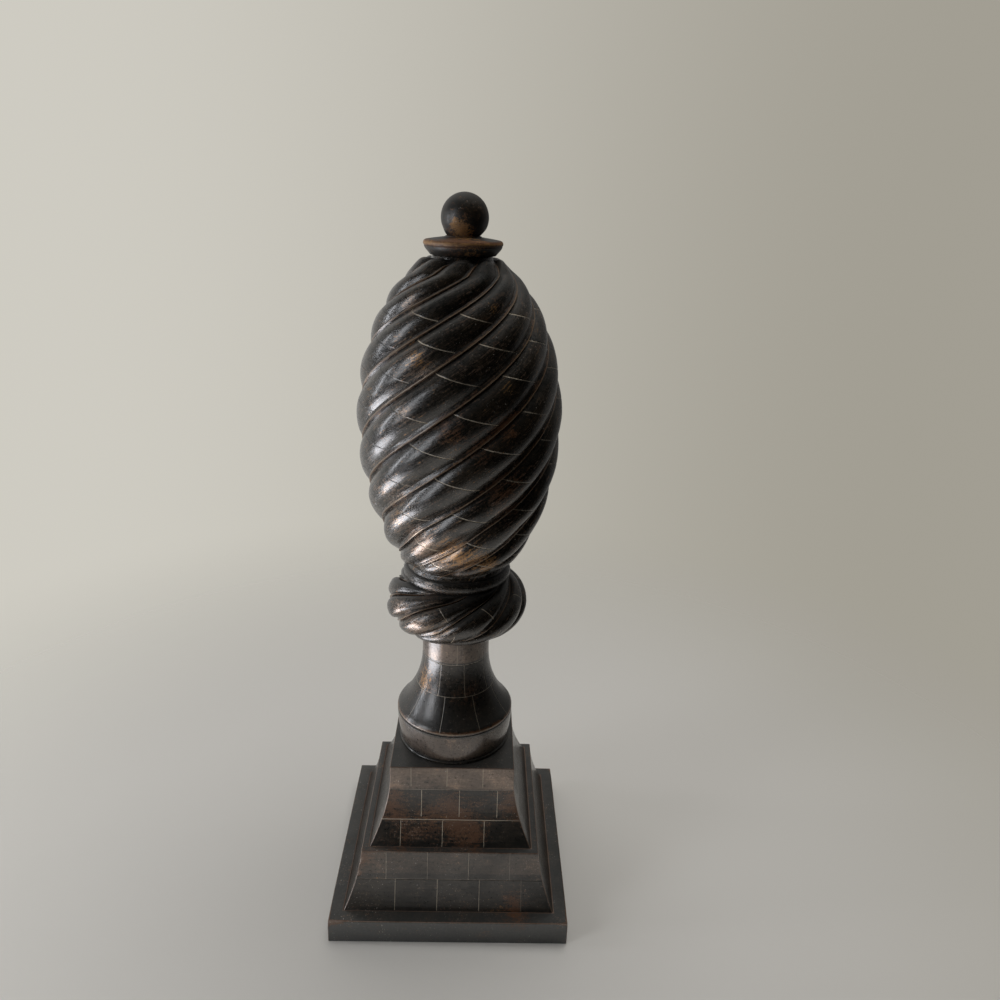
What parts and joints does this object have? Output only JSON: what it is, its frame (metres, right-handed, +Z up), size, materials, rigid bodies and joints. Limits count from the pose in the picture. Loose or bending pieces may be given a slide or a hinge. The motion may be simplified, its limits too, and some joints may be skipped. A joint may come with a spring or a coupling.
{
  "type": "spiral finial",
  "caption": "Egg-shaped finial carved with twisted ribs over a rope-like ring and a bell foot, on a stepped square plinth, with a ball on top.",
  "frame": {"origin": "centre of the plinth's flat underside", "axes": "+Z up along the turned axis, -Y towards the front face of the plinth, +X to the right"},
  "size_m": [0.205, 0.205, 0.6069],
  "materials": {
    "plinth_lacquer": "satin black-brown lacquer over wood, rubbed through to red-brown at the edges",
    "stem_lacquer": "semi-gloss black-brown lacquer over wood with fine cream joint lines",
    "carving_lacquer": "semi-gloss black-brown lacquer over wood, rubbed to bronze and gold on the crests",
    "knob_lacquer": "satin black-brown lacquer over wood with gold rub"
  },
  "bodies": {
    "root": {"plinth": "plinth_lacquer", "bell_stem": "stem_lacquer", "spiral_body": "carving_lacquer", "knob": "knob_lacquer"}
  },
  "joints": []
}
